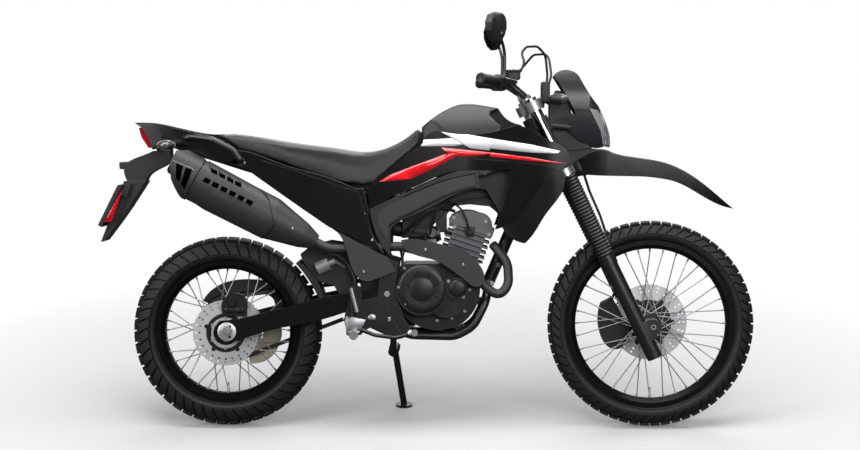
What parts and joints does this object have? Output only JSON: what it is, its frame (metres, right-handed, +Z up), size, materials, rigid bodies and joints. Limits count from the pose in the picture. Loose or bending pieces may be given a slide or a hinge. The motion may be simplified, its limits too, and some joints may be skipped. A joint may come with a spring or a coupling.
{
  "type": "dual sport motorcycle",
  "caption": "Light single cylinder dual sport motorcycle with wire wheels, long travel fork and high exhaust, parked leaning on its side stand.",
  "frame": {"origin": "centre of the footprint at ground level, under the middle of the bounding box", "axes": "+X to the front of the machine, +Y to its rider's left, which it leans to, +Z up"},
  "size_m": [2.2029, 0.8255, 1.4187],
  "materials": {
    "black_metal": "satin",
    "black_plastic": "gloss",
    "chain_steel": "satin",
    "chrome": "gloss",
    "engine_metal": "satin",
    "grey_plastic": "satin",
    "lamp_red": "gloss",
    "lens_clear": "gloss",
    "seat_cover": "matte",
    "silver_metal": "satin",
    "soft_rubber": "matte",
    "steel": "satin",
    "tyre_rubber": "matte"
  },
  "bodies": {
    "chassis": {"chain_guards": "grey_plastic", "crankcase": "engine_metal", "cylinder": "silver_metal", "drive_chain": "chain_steel", "engine_covers": "engine_metal", "exhaust_pipe": "black_metal", "exhaust_shields": "grey_plastic", "foot_controls": "silver_metal", "foot_covers": "grey_plastic", "frame_covers": "grey_plastic", "fuel_tank": "grey_plastic", "grab_rail": "black_metal", "inner_fender": "grey_plastic", "intake": "grey_plastic", "main_frame": "black_metal", "plate_bracket": "grey_plastic", "rear_axle": "steel", "rear_caliper": "black_metal", "rear_hose": "soft_rubber", "rear_lights": "lamp_red", "rear_shock": "steel", "seat": "seat_cover", "shrouds": "black_plastic", "side_covers": "black_plastic", "silencer": "black_metal", "skid_rails": "black_metal", "swingarm": "black_metal", "tail_fender": "black_plastic"},
    "steering": {"front_axle": "steel", "fork_lowers": "black_metal", "fork_bellows": "soft_rubber", "fork_stanchions": "chrome", "triple_clamps": "silver_metal", "handlebar": "black_metal", "hand_controls": "grey_plastic", "mirrors": "black_plastic", "headlight_cowl": "grey_plastic", "headlight_lens": "lens_clear", "front_fender": "black_plastic", "instrument": "grey_plastic", "front_signals": "lens_clear", "front_caliper": "black_metal", "front_cables": "soft_rubber"},
    "front_wheel": {"front_tyre": "tyre_rubber", "front_rim": "black_metal", "front_spokes": "steel", "front_hub": "black_metal", "front_disc": "steel"},
    "rear_wheel": {"rear_tyre": "tyre_rubber", "rear_rim": "black_metal", "rear_spokes": "steel", "rear_hub": "black_metal", "rear_disc": "steel", "rear_sprocket": "steel"},
    "side_stand": {"side_stand": "black_metal"}
  },
  "joints": [
    {"name": "steering_turn", "type": "hinge", "parent": "chassis", "child": "steering", "pos_m": [0.69648, -0.14649, 0.3157], "axis": [-0.4384, 0.1561, 0.8851], "range_deg": [-43, 43]},
    {"name": "front_wheel_spin", "type": "hinge", "parent": "steering", "child": "front_wheel", "pos_m": [0.754, -0.14162, 0.34333], "axis": [0, 0.9848, -0.1736], "continuous": true},
    {"name": "rear_wheel_spin", "type": "hinge", "parent": "chassis", "child": "rear_wheel", "pos_m": [-0.674, -0.14643, 0.31605], "axis": [0, 0.9848, -0.1736], "continuous": true},
    {"name": "side_stand_fold", "type": "hinge", "parent": "chassis", "child": "side_stand", "pos_m": [-0.114, -0.04238, 0.22662], "axis": [0.1151, 0.9653, 0.2343], "range_deg": [0, 100]}
  ]
}
